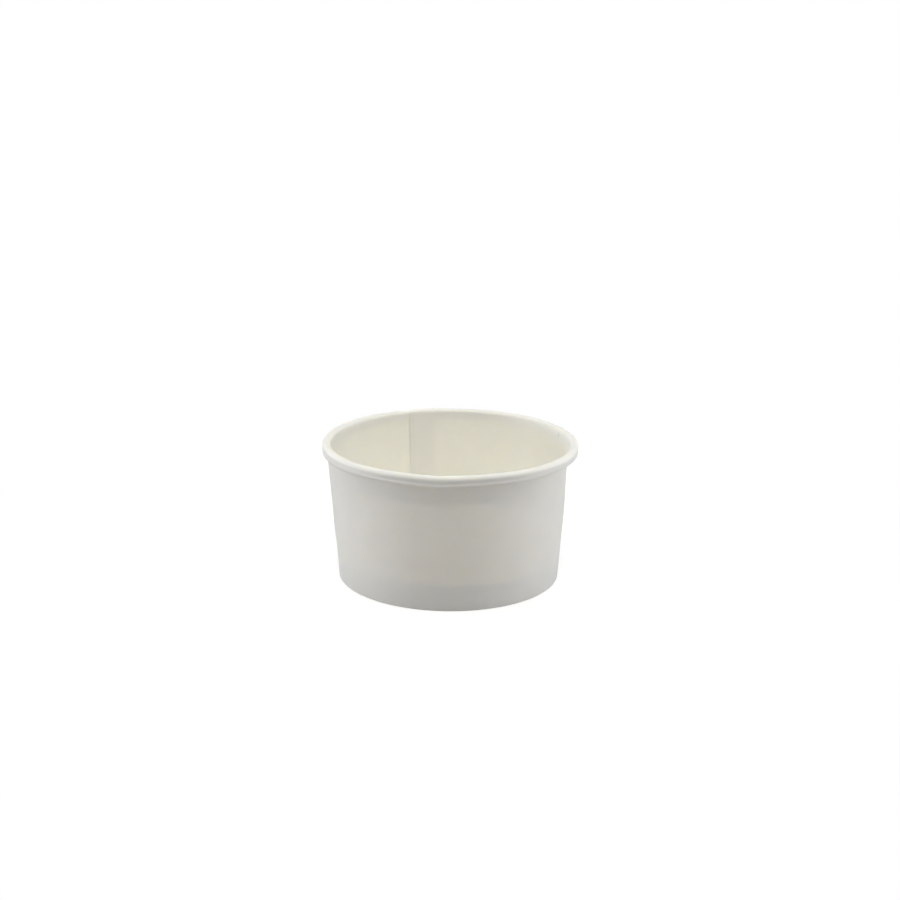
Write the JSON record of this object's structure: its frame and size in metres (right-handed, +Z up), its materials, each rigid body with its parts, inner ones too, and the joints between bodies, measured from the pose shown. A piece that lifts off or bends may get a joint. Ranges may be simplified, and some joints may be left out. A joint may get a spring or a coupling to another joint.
{
  "type": "paper sundae cup",
  "caption": "Low round coated paper cup with a rolled rim, a lapped side seam and a base held in its folded foot, for a single serving of ice cream or dessert.",
  "frame": {"origin": "On the table, at the centre of the foot", "axes": "+Z up, along the cup's axis and out of its mouth; +X and +Y lie across the cup, with the side seam near +Y"},
  "size_m": [0.087, 0.087, 0.0476],
  "materials": {
    "coated_board": "satin",
    "base_board": "satin"
  },
  "bodies": {
    "root": {"side_wall": "coated_board", "base_disc": "base_board"}
  },
  "joints": []
}
